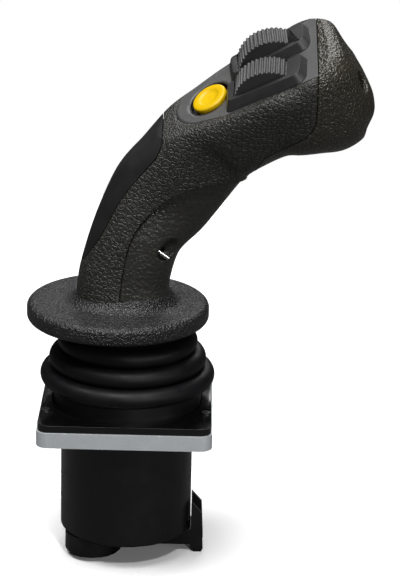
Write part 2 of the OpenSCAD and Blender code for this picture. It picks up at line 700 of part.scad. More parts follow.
module rear_shell() color([0.16, 0.15, 0.13]) in_grip() as_mesh() difference() {
  union() {
    difference() {
      grip_form();
      grip_hollow();
    }
    // bulkhead that the head cap is screwed to
    intersection() {
      grip_form(inset = grip_wall - 1);
      translate([web_x, -60, 60]) cube([2.8, 120, 100]);
    }
  }
  cap_region(-seam / 2);
  finger_region(-seam / 2);
  difference() {
    pad_region(-seam / 2);
    grip_form(inset = pad_t);
  }
  over_face();
  plate_block(-seam / 2, -plate_t, 10);
  intersection() {
    plate_block(2, -40, 10);
    translate([-60, -60, 60]) cube([web_x + 59.8, 120, 120]);
    union() {
      at_face() translate([-60, -60, -8]) cube([160, 120, 60]);
    }
  }
  at_cap_screw() translate([0, 0, -30]) cylinder(d = cap_screw_d - 0.2, h = 60);
  // room for the rollers to swing
  for (side = [-1, 1])
    at_unit(side) translate([0, 0, axle_z]) rotate([90, 0, 0])
      cylinder(r = roller_r + 1, h = roller_w + 2, center = true);
}

module front_shell() color([0.15, 0.145, 0.13]) in_grip() as_mesh() difference() {
  intersection() {
    grip_form(step_in = lip);
    finger_region(seam / 2);
  }
  grip_hollow();
  cap_region(-seam / 2);
  neck_pocket();
  at_cross_pin() translate([0, 0, -10]) cylinder(d = cross_pin_d + 0.2, h = 20);
}

cross_pin_d = 2.4;
cross_pin_l = 13;
module at_cross_pin() translate([neck_depth / 2 - 4, -neck_width / 2 + 4.9, 26.2]) rotate([0, 118, 0]) rotate([12, 0, 0]) children();
module neck_pocket() translate([neck_depth / 2 - 1, -neck_width / 2 + 3, 30.5]) rotate([0, -40, -30]) scale([1.25, 0.75, 0.55])
  sphere(8, $fn = 28);
module neck_cross_pin() color("gainsboro") in_grip() at_cross_pin()
  translate([0, 0, -cross_pin_l / 2]) cylinder(d = cross_pin_d, h = cross_pin_l);

module head_cap() color([0.16, 0.15, 0.13]) in_grip() as_mesh() difference() {
  union() {
    difference() {
      intersection() {
        grip_form();
        cap_region(seam / 2);
      }
      grip_hollow();
    }
    // boss behind the screw's recess
    intersection() {
      grip_form(inset = 1);
      cap_region(seam / 2);
      at_cap_screw() translate([0, 0, -20]) cylinder(r = 6, h = 40);
    }
  }
  over_face();
  at_cap_screw() {
    translate([0, 0, -30]) cylinder(d = cap_screw_d + 0.4, h = 60);
    translate([0, 0, cap_recess_z]) cylinder(r = 5.4, h = 40);
  }
}
cap_recess_z = 9;
module cap_screw() color("gainsboro") in_grip() at_cap_screw() difference() {
  union() {
    translate([0, 0, -14]) cylinder(d = cap_screw_d - 0.3, h = cap_recess_z + 14.5);
    translate([0, 0, cap_recess_z]) cylinder(d = 7, h = 3.2);
  }
  translate([0, 0, cap_recess_z + 1.4]) cylinder(d = 3.6, h = 4, $fn = 6);
}

module palm_pad() color([0.05, 0.05, 0.05]) in_grip() as_mesh() difference() {
  intersection() {
    grip_form();
    pad_region(seam / 2);
  }
  grip_form(inset = pad_t - 0.05);
  over_face();
}

module face_plate() color([0.2, 0.2, 0.21]) in_grip() difference() {
  as_mesh() difference() {
    intersection() {
      grip_form();
      plate_block(seam / 2, -plate_t, 0);
    }
    cap_region(-seam / 2);
  }
  at_face() {
    translate([button_x, 0, -10]) cylinder(d = button_seat_d + 0.2, h = 20);
    for (s = [-1, 1])
      translate([roller_x + s * unit_stagger, s * roller_pitch / 2, 0])
        rotate(unit_turn + s * unit_spread)
          cube([2 * window_l + 0.4, 2 * window_w + 0.4, 20], center = true);
  }
}

// ---------------------------------------------------------------- push button
recess_d = button_d + 4;              // black well round the button
recess_depth = 3.4;
button_seat_d = recess_d + 1.2;       // outside of the well's wall
cup_floor = -9;
cup_depth = cup_floor + 2;
stem_d = 6;
stem_low = -12.2;
module at_button() in_grip() at_face() translate([button_x, 0, 0]) children();

module button_bezel() color([0.1, 0.1, 0.1]) at_button() difference() {
  union() {
    translate([0, 0, -recess_depth - 1.2]) cylinder(d = button_seat_d, h = recess_depth + 1.2);
    translate([0, 0, cup_floor]) cylinder(d = button_d + 2.8, h = -recess_depth - cup_floor);
    translate([0, 0, stem_low - 2.8]) cylinder(d = 13, h = 5 - stem_low);
  }
  translate([0, 0, -recess_depth]) cylinder(d = recess_d, h = 20);
  translate([0, 0, cup_depth]) cylinder(d = button_d + 2 * gap, h = 20);
  translate([0, 0, cup_floor - 1]) cylinder(d = stem_d + 2 * slide_gap, h = 6);
  translate([0, 0, stem_low - 3]) cylinder(d = 9.6, h = cup_floor - stem_low + 3);
}

module button_switch() color([0.2, 0.2, 0.22]) at_button()
  translate([0, 0, stem_low - 2.8 - 3.5]) cube([13, 7, 7], center = true);

module button_spring() color("gray") at_button()
  translate([0, 0, cup_depth + 0.1]) coil(stem_d / 2 + 1.4, 0.8, -2.2 - cup_depth, 2.5);

module button_cap() color("gold") at_button() {
  rotate_extrude() {
    edge = 1.1;
    polygon([[0, -2], [button_d / 2, -2], [button_d / 2, 2], [button_d / 2 - edge, 2 + edge],
             [button_d / 2 - 2.6, 2 + edge], [button_d / 2 - 4, 2.5], [0, 2.2]]);
    translate([button_d / 2 - edge, 2]) circle(edge);
  }
  translate([0, 0, stem_low]) cylinder(d = stem_d, h = -stem_low);
}

// ---------------------------------------------------------------- thumb rollers
roller_crest = 7;                     // height of a roller's crest over its bezel
axle_z = bezel_h + roller_crest - roller_r;
// Corners of a bezel at its foot and at its top: along the unit, across it, radius
bezel_foot = [[-17.5, -8, 3], [-18, 5, 3], [20, 5, 3], [17.5, -5.5, 5.5]];
bezel_top = [[-15.5, -6, 2], [-16, 4.6, 2], [19.8, 4.6, 2], [17, -4.6, 4.4]];
window_l = 18.6;                      // half length and half width of a bezel's foot
window_w = roller_w / 2 + 1.5;
cheek_in = roller_w / 2 + 0.3;
cheek_low = axle_z - 9;
cheek_out_t = 1.2;                    // wall of the cheeks that carry an axle
module at_roller(side) in_grip() at_unit(side) children();

// Wedge-sided surround with the slot for its roller; the same moulding serves both rollers
module bezel(side) color([0.17, 0.17, 0.18]) at_roller(side) difference() {
  union() {
    hull() {
      for (p = bezel_foot)
        translate([p[0], p[1], 0]) cylinder(r = p[2], h = 0.4, $fn = 32);
      for (p = bezel_top)
        translate([p[0], p[1], bezel_h - 1]) cylinder(r = p[2], h = 1, $fn = 32);
    }
    translate([0, 0, -plate_t / 2]) cube([2 * window_l, 2 * window_w, plate_t + 0.2], center = true);
    for (y = [-1, 1])
      translate([0, y * (cheek_in + cheek_out_t / 2), cheek_low / 2])
        cube([14, cheek_out_t, -cheek_low], center = true);
  }
  translate([0, 0, axle_z]) rotate([90, 0, 0]) {
    cylinder(r = roller_r + 0.4, h = 2 * cheek_in, center = true);
    cylinder(d = axle_d, h = 40, center = true);
  }
}
module near_bezel() bezel(-1);
module far_bezel() bezel(1);

// Flush with the outer cheek, and out past the inner one to carry the spring
module axle(side) color("gainsboro") at_roller(side)
  translate([0, side * (cheek_in + cheek_out_t), axle_z]) rotate([90 * side, 0, 0])
    cylinder(d = axle_d, h = 2 * (cheek_in + cheek_out_t) + 1.8);
module near_axle() axle(-1);
module far_axle() axle(1);

module roller_spring(side) color("gray") at_roller(side)
  translate([0, -side * (cheek_in + cheek_out_t + 0.1), axle_z]) rotate([90 * side, 0, 0])
    coil(axle_d / 2 + 0.5, 0.4, 1.4, 2);
module near_roller_spring() roller_spring(-1);
module far_roller_spring() roller_spring(1);

// Sector with grip teeth on its rim; it swings under the bezel without showing its ends
tooth = 0.7;
rim_angle = 83;
module roller(side) color([0.12, 0.12, 0.12]) at_roller(side) translate([0, 0, axle_z])
  rotate([90, 0, 0]) difference() {
    union() {
      linear_extrude(roller_w, center = true) polygon(concat(
        [for (i = [0:roller_teeth - 1], k = [0:3])
          let (a = 90 - rim_angle + 2 * rim_angle * (i + [0, 0.2, 0.5, 0.7][k]) / (roller_teeth - 0.3),
               r = k == 1 || k == 2 ? roller_r : roller_r - tooth)
            r * [cos(a), sin(a)]],
        [[-roller_r + 2.5, 2], [roller_r - 2.5, 2]]));
      cylinder(r = 5, h = roller_w, center = true);
    }
    cylinder(d = axle_d + 2 * slide_gap, h = 40, center = true);
  }
module near_roller() roller(-1);
module far_roller() roller(1);

module grip_board() color("darkgreen") in_grip() at_face()
  translate([roller_x - 4, 0, cheek_low - 0.8]) cube([20, 1.3 * roller_pitch, 1.6], center = true);

// ---------------------------------------------------------------- pieces
mounting_flange();
boot_frame();
frame_screws();
rubber_boot();
housing();
housing_screws();
round_socket();
round_socket_pins();
plug_socket();
plug_socket_pins();
sensor_board();
sensor_chips();
board_screws();
flange_bushes();
gimbal_ring();
gimbal_pins();
gimbal_bushes();
gimbal_spring();
lever_shaft();
lever_pin();
lever_spring();
magnet_holder();
magnet();
clamp_sleeve();
hand_rest();
rear_shell();
front_shell();
head_cap();
palm_pad();
face_plate();
neck_cross_pin();
cap_screw();
button_bezel();
button_switch();
button_spring();
button_cap();
near_bezel();
far_bezel();
near_axle();
far_axle();
near_roller_spring();
far_roller_spring();
near_roller();
far_roller();
grip_board();
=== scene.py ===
"""Looks of an industrial joystick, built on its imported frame.

Each operator builds one piece or one group of like pieces; the panel in the 3D view's sidebar
lists them in the order in which they are used.
"""

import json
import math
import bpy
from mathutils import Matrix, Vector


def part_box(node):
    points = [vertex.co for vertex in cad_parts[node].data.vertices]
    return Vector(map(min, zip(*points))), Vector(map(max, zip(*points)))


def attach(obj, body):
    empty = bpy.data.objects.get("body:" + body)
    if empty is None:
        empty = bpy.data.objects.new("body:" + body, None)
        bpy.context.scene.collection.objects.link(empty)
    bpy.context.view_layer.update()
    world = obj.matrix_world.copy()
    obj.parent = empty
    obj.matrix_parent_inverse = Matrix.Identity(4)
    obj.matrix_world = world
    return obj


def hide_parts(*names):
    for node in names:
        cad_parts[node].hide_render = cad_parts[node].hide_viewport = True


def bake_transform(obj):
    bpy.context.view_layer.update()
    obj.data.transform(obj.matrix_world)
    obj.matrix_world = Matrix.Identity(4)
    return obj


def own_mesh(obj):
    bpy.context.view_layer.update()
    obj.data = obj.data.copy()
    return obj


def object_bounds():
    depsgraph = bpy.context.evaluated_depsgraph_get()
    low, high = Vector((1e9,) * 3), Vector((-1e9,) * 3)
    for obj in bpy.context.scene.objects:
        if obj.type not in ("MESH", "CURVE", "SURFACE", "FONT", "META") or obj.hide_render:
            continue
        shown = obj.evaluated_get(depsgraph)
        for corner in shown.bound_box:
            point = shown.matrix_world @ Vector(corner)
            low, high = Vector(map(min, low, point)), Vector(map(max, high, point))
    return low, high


bl_info = {
    "name": "Industrial Joystick",
    "version": (1, 0, 0),
    "blender": (4, 5, 0),
    "location": "View3D > Sidebar > Joystick",
    "description": "Builds the looks of an industrial joystick on its packed frame",
    "category": "Object",
}

import bmesh
import bpy
import numpy as np
from bpy.props import FloatProperty, FloatVectorProperty, PointerProperty
from mathutils import Matrix, Vector

MM = 0.001
TINY = 0.0001 * MM  # radius of the ring that closes a turned skin at its middle
TURN = [(math.cos(k * math.tau / 144), math.sin(k * math.tau / 144)) for k in range(144)]

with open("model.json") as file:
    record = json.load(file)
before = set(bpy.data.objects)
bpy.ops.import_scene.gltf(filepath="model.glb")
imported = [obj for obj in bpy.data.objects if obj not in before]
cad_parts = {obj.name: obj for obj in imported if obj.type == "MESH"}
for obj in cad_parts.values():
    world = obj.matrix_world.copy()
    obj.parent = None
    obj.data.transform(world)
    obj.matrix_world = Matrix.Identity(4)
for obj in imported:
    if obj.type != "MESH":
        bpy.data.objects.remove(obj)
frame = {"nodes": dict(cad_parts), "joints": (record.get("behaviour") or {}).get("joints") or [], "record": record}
cad_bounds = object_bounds()


# ---------------------------------------------------------------- settings


def length(name, description, default):
    """A length that the panel shows; default is in mm."""
    return FloatProperty(
        name=name,
        description=description,
        default=default * MM,
        min=0.0,
        precision=5,
        subtype="DISTANCE",
        unit="LENGTH",
    )


def colour(name, description, default):
    """A colour that the panel shows."""
    return FloatVectorProperty(
        name=name,
        description=description,
        default=default,
        size=3,
        min=0.0,
        max=1.0,
        subtype="COLOR",
    )


class JoystickSizes(bpy.types.PropertyGroup):
    """Sizes of the shapes that are finished here, and of the stage"""

    mesh_step: length("Mesh step", "Longest edge of the smoothed mouldings", 2.2)
    edge_round: length("Edge round", "Rounding of the moulded edges", 0.45)
    metal_round: length("Metal edge round", "Rounding of the cast and turned edges", 0.35)
    grain_cell: length("Grain cell", "Width of one cell of the grip's grain", 2.3)
    grain_depth: length("Grain depth", "Depth of the grip's grain", 0.42)
    satin_grain: length("Satin grain", "Width of the plate's fine grain", 0.5)
    fold_radius: length("Fold radius", "Outer radius of the boot's lowest fold", 44.6)
    fold_tube: length("Fold tube", "Radius of the round of a fold", 4.9)
    fold_height: length("Fold height", "Height of the lowest fold's middle", 25.2)
    fold_rise: length("Fold rise", "Height from one fold to the next", 8.9)
    fold_step: length("Fold step", "How much smaller each fold is than the one below", 4.5)
    skirt_radius: length("Skirt radius", "Radius of the boot's skirt in its frame", 38.0)
    boot_skin: length("Boot skin", "Thickness of the boot's rubber", 1.3)
    collar_radius: length("Collar radius", "Radius of the boot's upper end on the lever", 17.6)
    valley_depth: length("Valley depth", "How far the boot draws in between two folds", 1.2)
    mouth_radius: length("Mouth radius", "Outer radius of the lip round the frame's mouth", 41.95)
    rest_thickness: length("Rest thickness", "Thickness of the hand rest's disc", 9.4)
    rest_top: length("Rest top", "Depth of the disc's top under the flare's highest point", 2.6)
    rest_hollow: length("Rest hollow", "Depth of the hollow under the hand rest", 1.6)
    rest_collar: length("Rest collar", "Radius of the collar under the hand rest", 16.5)
    rest_bore: length("Rest bore", "Radius of the hand rest's bore", 11.6)
    rim_round: length("Rim round", "Rounding of the hand rest's rim", 3.2)
    flare_width: length("Flare width", "Reach of the flare round the grip's foot", 7.5)
    flare_rise: length("Flare rise", "How far the flare climbs up the grip's foot", 4.0)
    lip_depth: length("Lip depth", "How far the finger side stands back under the lip", 1.5)
    lip_low: length("Lip start", "Height where the finger side starts to stand back", 100.0)
    lip_high: length("Lip end", "Height where the finger side stands back fully", 128.0)
    button_lift: length("Button lift", "Height of the button over its CAD guide", 1.5)
    floor_width: length("Floor width", "Width of the studio floor", 1300.0)
    camera_distance: length("Camera distance", "Distance of the camera from its aim", 1119.7)
    camera_aim: length("Camera aim", "Distance of the camera's aim from the flange's middle", 36.1)
    camera_lens: FloatProperty(
        name="Lens", description="Focal length of the camera", default=138.4, unit="CAMERA"
    )
    camera_lift: FloatProperty(
        name="Camera lift",
        description="Angle of the camera above the horizon",
        default=math.radians(18.642),
        unit="ROTATION",
    )
    camera_roll: FloatProperty(
        name="Camera roll",
        description="Turn of the camera round its line of sight",
        default=math.radians(1.354),
        unit="ROTATION",
    )


class JoystickColours(bpy.types.PropertyGroup):
    """Colours of the joystick's finishes and of the floor"""

    grip: colour("Grip", "Grained mouldings of the grip", (0.024, 0.0233, 0.0195))
    cap: colour("Head cap", "Cap at the end of the head", (0.031, 0.0285, 0.020))
    pad: colour("Palm pad", "Soft pad in the grip's back", (0.005, 0.005, 0.0051))
    plate: colour("Face plate", "Plate on the head", (0.060, 0.060, 0.0595))
    bezel: colour("Bezels", "Surrounds of the thumb rollers", (0.021, 0.021, 0.021))
    roller: colour("Rollers", "Thumb rollers", (0.036, 0.036, 0.0362))
    button: colour("Button", "Push button", (0.57, 0.36, 0.0015))
    rest: colour("Hand rest", "Disc under the grip", (0.016, 0.016, 0.0165))
    boot: colour("Boot", "Rubber boot", (0.0026, 0.0026, 0.0036))
    frame: colour("Boot frame", "Glossy frame over the boot's foot", (0.002, 0.002, 0.0022))
    flange: colour("Flange", "Cast mounting flange", (0.80, 0.84, 0.87))
    housing: colour("Housing", "Housing, sockets, button well and chips", (0.004, 0.004, 0.0045))
    steel: colour("Steel", "Bright steel pieces", (0.55, 0.55, 0.56))
    bronze: colour("Bronze", "Bearing bushes", (0.52, 0.32, 0.15))
    gold: colour("Gold", "Contact pins", (0.80, 0.58, 0.22))
    board: colour("Board", "Circuit boards", (0.012, 0.11, 0.045))
    ivory: colour("Ivory", "Magnet holder", (0.72, 0.69, 0.58))
    floor: colour("Floor", "Studio floor", (0.97, 0.97, 0.97))


# ---------------------------------------------------------------- shader effects

# lumps to the metre
PATCH_SCALE = 34.0
SMEAR_SCALE = 110.0
SWAY_SCALE = 420.0
LUMP_SCALE = 520.0

def add(tree, kind, inputs=None, **settings):
    """A shader node; an input that is a socket is linked, any other value is set."""
    made = tree.nodes.new(kind)
    for key, value in settings.items():
        setattr(made, key, value)
    for key, value in (inputs or {}).items():
        if isinstance(value, bpy.types.NodeSocket):
            tree.links.new(value, made.inputs[key])
        else:
            made.inputs[key].default_value = value
    return made


def product(tree, first, second, clamp=False):
    """first * second"""
    return add(
        tree, "ShaderNodeMath", {0: first, 1: second}, operation="MULTIPLY", use_clamp=clamp
    ).outputs[0]


def sum_of(tree, first, factor, second):
    """first * factor + second"""
    return add(
        tree, "ShaderNodeMath", {0: first, 1: factor, 2: second}, operation="MULTIPLY_ADD"
    ).outputs[0]


def spread(tree, value, low, high, out_low=0.0, out_high=1.0):
    """value from low to high becomes out_low to out_high, with soft ends"""
    return add(
        tree,
        "ShaderNodeMapRange",
        {"Value": value, 1: low, 2: high, 3: out_low, 4: out_high},
        interpolation_type="SMOOTHSTEP",
    ).outputs[0]


def blend_colour(tree, factor, first, second):
    """The first colour where factor is 0 and the second where it is 1"""
    return add(
        tree, "ShaderNodeMix", {0: factor, 6: first, 7: second}, data_type="RGBA"
    ).outputs[2]


def noise(tree, at, scale, detail=3.0, rough=0.5):
    """Cloudy noise with scale lumps to the metre"""
    return add(
        tree,
        "ShaderNodeTexNoise",
        {"Vector": at, "Scale": scale, "Detail": detail, "Roughness": rough},
    ).outputs[0]


def begin_effect(name):
    """A node group with the sockets that every effect here has, its start and its end."""
    tree = bpy.data.node_groups.new(name, "ShaderNodeTree")
    for label, kind, value in (
        ("Color", "NodeSocketColor", (0.1, 0.1, 0.1, 1.0)),
        ("Worn Color", "NodeSocketColor", (0.2, 0.2, 0.2, 1.0)),
        ("Roughness", "NodeSocketFloat", 0.5),
        ("Grain", "NodeSocketFloat", 700.0),
        ("Wear", "NodeSocketFloat", 0.3),
        ("Patches", "NodeSocketFloat", 0.3),
    ):
        tree.interface.new_socket(label, in_out="INPUT", socket_type=kind).default_value = value
    for label, kind in (
        ("Color", "NodeSocketColor"),
        ("Roughness", "NodeSocketFloat"),
        ("Height", "NodeSocketFloat"),
    ):
        tree.interface.new_socket(label, in_out="OUTPUT", socket_type=kind)
    start = tree.nodes.new("NodeGroupInput")
    end = tree.nodes.new("NodeGroupOutput")
    at = tree.nodes.new("ShaderNodeTexCoord").outputs["Object"]
    return tree, start.outputs, end.inputs, at


def end_effect(tree, given, made, at, hollow_shade, height, rough_gain):
    """Adds what every finish has: tone patches, painted shade in the grain's hollows, rubbed edges, and a
    roughness that follows the hollows and the smears.
    """
    patch = noise(tree, at, PATCH_SCALE, 4.0, 0.62)
    smear = noise(tree, at, SMEAR_SCALE, 3.0, 0.6)
    # a darker copy of the colour, which both the random tone patches and the painted shade in the hollows blend
    # towards
    deep = add(
        tree, "ShaderNodeHueSaturation", {"Color": given["Color"], "Value": 0.45}
    ).outputs[0]
    # random tone patches plus the painted shade in the hollows of the grain
    tone = sum_of(tree, patch, given["Patches"], hollow_shade)
    base = blend_colour(tree, tone, given["Color"], deep)
    edge = spread(
        tree, tree.nodes.new("ShaderNodeNewGeometry").outputs["Pointiness"], 0.515, 0.60
    )
    rubbed = product(tree, product(tree, edge, smear), given["Wear"], clamp=True)
    tree.links.new(blend_colour(tree, rubbed, base, given["Worn Color"]), made["Color"])
    uneven = spread(tree, smear, 0.3, 0.7, -0.06, 0.06)
    # the painted hollow shade mask also makes the hollows rougher
    rough = sum_of(tree, hollow_shade, rough_gain, given["Roughness"])
    tree.links.new(
        add(tree, "ShaderNodeMath", {0: rough, 1: uneven}, use_clamp=True).outputs[0],
        made["Roughness"],
    )
    tree.links.new(height, made["Height"])
    return tree


def skin_effect():
    """Leather-like cells of uneven size, with shallow valleys between them that are painted darker as shade."""
    tree, given, made, at = begin_effect("grained_skin")
    sway = add(
        tree, "ShaderNodeTexNoise", {"Vector": at, "Scale": SWAY_SCALE, "Detail": 2.0}
    ).outputs["Color"]
    sway = add(
        tree, "ShaderNodeVectorMath", {0: sway, 1: (0.0012,) * 3}, operation="MULTIPLY"
    ).outputs[0]
    bent = add(tree, "ShaderNodeVectorMath", {0: at, 1: sway}).outputs[0]
    cells = add(
        tree,
        "ShaderNodeTexVoronoi",
        {"Vector": bent, "Scale": given["Grain"], "Randomness": 1.0},
        feature="DISTANCE_TO_EDGE",
    ).outputs["Distance"]
    valley = spread(tree, cells, 0.0, 0.17, 1.0, 0.0)
    fine = noise(tree, at, product(tree, given["Grain"], 2.6), 3.0, 0.6)
    lumps = noise(tree, at, LUMP_SCALE, 1.2, 0.55)
    height = sum_of(tree, lumps, 0.8, sum_of(tree, valley, -0.65, fine))
    # painted shade: the valleys between the cells are darkened
    return end_effect(tree, given, made, at, product(tree, valley, 0.7), height, 0.22)


def pebble_effect():
    """Small rounded pebbles of uneven size, as on a spark-eroded moulding, with painted shade between them."""
    tree, given, made, at = begin_effect("pebbled_skin")
    lumps = noise(tree, at, given["Grain"], 1.2, 0.55)
    height = spread(tree, lumps, 0.32, 0.68)
    # painted shade: the low ground between the pebbles is darkened
    hollow_shade = spread(tree, lumps, 0.30, 0.52, 0.5, 0.0)
    return end_effect(tree, given, made, at, hollow_shade, height, 0.2)


def satin_effect():
    """Fine even grain of a moulded or powdery surface, with faint painted shade in its low parts."""
    tree, given, made, at = begin_effect("fine_satin")
    fine = noise(tree, at, given["Grain"], 4.0, 0.65)
    # painted shade: the low parts of the fine grain are a little darker
    hollow_shade = spread(tree, fine, 0.35, 0.65, 0.12, 0.0)
    return end_effect(tree, given, made, at, hollow_shade, fine, 0.3)


def cast_effect():
    """Sand-cast or tumbled metal: soft pits over a finer grain, with painted shade in the pits."""
    tree, given, made, at = begin_effect("cast_metal")
    fine = noise(tree, at, given["Grain"], 5.0, 0.7)
    pits = add(
        tree,
        "ShaderNodeTexVoronoi",
        {"Vector": at, "Scale": product(tree, given["Grain"], 0.6)},
        feature="F1",
    ).outputs["Distance"]
    pit = spread(tree, pits, 0.08, 0.3, 1.0, 0.0)
    height = sum_of(tree, pit, -0.5, fine)
    # painted shade: the pits are darkened
    return end_effect(tree, given, made, at, product(tree, pit, 0.25), height, 0.3)


def turned_effect():
    """Fine rings left by turning or drawing, stretched along the piece, with painted shade in their low parts."""
    tree, given, made, at = begin_effect("turned_metal")
    flat = add(
        tree, "ShaderNodeVectorMath", {0: at, 1: (0.15, 0.15, 1.0)}, operation="MULTIPLY"
    ).outputs[0]
    rings = noise(tree, flat, given["Grain"], 3.0, 0.7)
    # painted shade: the low parts of the rings are darker
    hollow_shade = spread(tree, rings, 0.3, 0.7, 0.18, 0.0)
    return end_effect(tree, given, made, at, hollow_shade, rings, 0.35)


def material(name, effect, rgb, worn, rough, cell, depth, wear=0.3, patches=0.35, **surface):
    """A finish: its effect gives colour, roughness and height, and the rest is uniform."""
    made = bpy.data.materials.new(name)
    made.use_nodes = True
    tree = made.node_tree
    tree.nodes.clear()
    look = tree.nodes.new("ShaderNodeGroup")
    look.node_tree = effect
    for label, value in (
        ("Color", (*rgb, 1.0)),
        ("Worn Color", (*worn, 1.0)),
        ("Roughness", rough),
        ("Grain", 1.0 / cell),
        ("Wear", wear),
        ("Patches", patches),
    ):
        look.inputs[label].default_value = value
    bump = add(
        tree,
        "ShaderNodeBump",
        {"Height": look.outputs["Height"], "Distance": depth, "Strength": 1.0},
    )
    skin = add(
        tree,
        "ShaderNodeBsdfPrincipled",
        {
            "Base Color": look.outputs["Color"],
            "Roughness": look.outputs["Roughness"],
            "Normal": bump.outputs[0],
            **surface,
        },
    )
    out = tree.nodes.new("ShaderNodeOutputMaterial")
    tree.links.new(skin.outputs[0], out.inputs[0])
    return made


FINISHES = {}


def build_finishes(sizes, colours):
    """All the finishes, by the name that the pieces ask for."""
    skin, pebble, satin = skin_effect(), pebble_effect(), satin_effect()
    cast, turned = cast_effect(), turned_effect()

    def worn(rgb, gain=2.2):
        """The lighter tone of a rubbed edge."""
        return tuple(min(1.0, c * gain + 0.01) for c in rgb)

    def dimmed(rgb, share):
        return tuple(c * share for c in rgb)

    def add_finish(name, effect, rgb, rough, cell, depth, **more):
        """A finish whose grain has this cell and depth in mm."""
        FINISHES[name] = material(
            name, effect, rgb, worn(rgb), rough, cell * MM, depth * MM, **more
        )

    def metal(name, effect, rgb, rough, cell, depth, **more):
        add_finish(name, effect, rgb, rough, cell, depth, Metallic=1.0, **more)

    cell, deep, fine = sizes.grain_cell / MM, sizes.grain_depth / MM, sizes.satin_grain / MM
    add_finish("grip_rear", skin, colours.grip, 0.36, cell, deep, wear=0.5)
    add_finish("grip_front", pebble, colours.grip, 0.36, cell * 0.75, deep * 0.45, wear=0.4)
    add_finish("head_cap_skin", pebble, colours.cap, 0.22, cell * 0.6, deep * 0.95, wear=0.5)
    add_finish(
        "pad_rubber", satin, colours.pad, 0.62, 0.4, 0.02, wear=0.2,
        **{"Specular IOR Level": 0.35},
    )
    add_finish("plate_satin", satin, colours.plate, 0.5, fine, 0.02, wear=0.5)
    add_finish("bezel_satin", satin, colours.bezel, 0.42, fine, 0.02, wear=0.9)
    add_finish("roller_satin", satin, colours.roller, 0.46, fine, 0.018, wear=0.8)
    add_finish(
        "button_gloss", satin, colours.button, 0.32, 0.6, 0.006, wear=0.1, patches=0.05,
        **{"Coat Weight": 0.06, "Coat Roughness": 0.2, "Specular IOR Level": 0.22},
    )
    add_finish("well_black", satin, colours.housing, 0.5, 0.5, 0.02)
    add_finish(
        "rest_skin", pebble, colours.rest, 0.3, cell * 0.5, deep * 0.95, wear=0.6,
        **{"Specular IOR Level": 0.42},
    )
    add_finish(
        "boot_rubber", satin, colours.boot, 0.5, 0.6, 0.03, wear=0.5,
        **{"Specular IOR Level": 0.28},
    )
    add_finish(
        "frame_gloss", satin, colours.frame, 0.16, 1.2, 0.006, wear=0.3, patches=0.15,
        **{"Coat Weight": 0.3},
    )
    add_finish(
        "flange_cast", cast, colours.flange, 0.38, 0.9, 0.05, wear=0.6, patches=0.3, Metallic=0.55
    )
    add_finish("housing_satin", satin, colours.housing, 0.30, 0.5, 0.012, wear=0.4)
    metal("steel_bright", turned, colours.steel, 0.24, 0.25, 0.01)
    metal("steel_dark", turned, dimmed(colours.steel, 0.35), 0.36, 0.25, 0.01)
    metal("bronze_sinter", cast, colours.bronze, 0.45, 0.4, 0.02)
    metal("gold_plate", turned, colours.gold, 0.22, 0.25, 0.006)
    add_finish("board_resist", satin, colours.board, 0.35, 0.6, 0.01)
    add_finish("chip_epoxy", satin, colours.housing, 0.6, 0.3, 0.02)
    add_finish("ivory_plastic", satin, colours.ivory, 0.45, 0.6, 0.02, patches=0.15)
    metal("magnet_sinter", cast, dimmed(colours.steel, 0.5), 0.5, 0.4, 0.02)


def finish(obj, name):
    """Gives a piece or a CAD node one finish and no other."""
    obj.data.materials.clear()
    obj.data.materials.append(FINISHES[name])
    return obj


# ---------------------------------------------------------------- meshes

FLAT_ANGLE = math.radians(0.6)  # facets that turn less than this lie in one face
EDGE_ANGLE = math.radians(32)  # edges that turn more than this are rounded

def copy_mesh(node):
    """A bmesh of a CAD node with its split corners joined again."""
    bm = bmesh.new()
    bm.from_mesh(frame["nodes"][node].data)
    bmesh.ops.remove_doubles(bm, verts=bm.verts, dist=2e-6)
    bmesh.ops.dissolve_degenerate(bm, edges=bm.edges, dist=1e-6)
    return bm


def as_object(bm, name, sharp=math.radians(35)):
    """A smoothly shaded object of a bmesh, with the edges over the sharp angle kept crisp."""
    mesh = bpy.data.meshes.new(name)
    bmesh.ops.recalc_face_normals(bm, faces=bm.faces)
    bm.to_mesh(mesh)
    bm.free()
    mesh.polygons.foreach_set("use_smooth", [True] * len(mesh.polygons))
    mesh.set_sharp_from_angle(angle=sharp)
    obj = bpy.data.objects.new(name, mesh)
    bpy.context.scene.collection.objects.link(obj)
    return obj


def shorten(bm, step):
    """Cuts edges longer than step in two until none is left, so that the skin can be relaxed."""
    for _ in range(8):
        long = [e for e in bm.edges if e.calc_length() > step]
        if not long:
            return
        bmesh.ops.subdivide_edges(bm, edges=long, cuts=1)
        bmesh.ops.triangulate(bm, faces=[f for f in bm.faces if len(f.verts) > 3])


def relax(bm, rounds, sharp=math.radians(26)):
    """Takes the flats out of a lofted skin without shrinking it; sharp edges stay in place."""
    bm.verts.ensure_lookup_table()
    at = np.array([v.co for v in bm.verts])
    free = np.ones(len(at))
    for e in bm.edges:
        if len(e.link_faces) != 2 or e.calc_face_angle(0.0) > sharp:
            free[[v.index for v in e.verts]] = 0.0
    ends = np.array([[v.index for v in e.verts] for e in bm.edges])
    count = np.bincount(ends.ravel(), minlength=len(at))[:, None]
    for _ in range(rounds):
        for gain in (0.5, -0.52):  # a step in and a slightly longer step out again
            total = np.zeros_like(at)
            np.add.at(total, ends[:, 0], at[ends[:, 1]])
            np.add.at(total, ends[:, 1], at[ends[:, 0]])
            at += gain * free[:, None] * (total / count - at)
    for v, place in zip(bm.verts, at):
        v.co = place


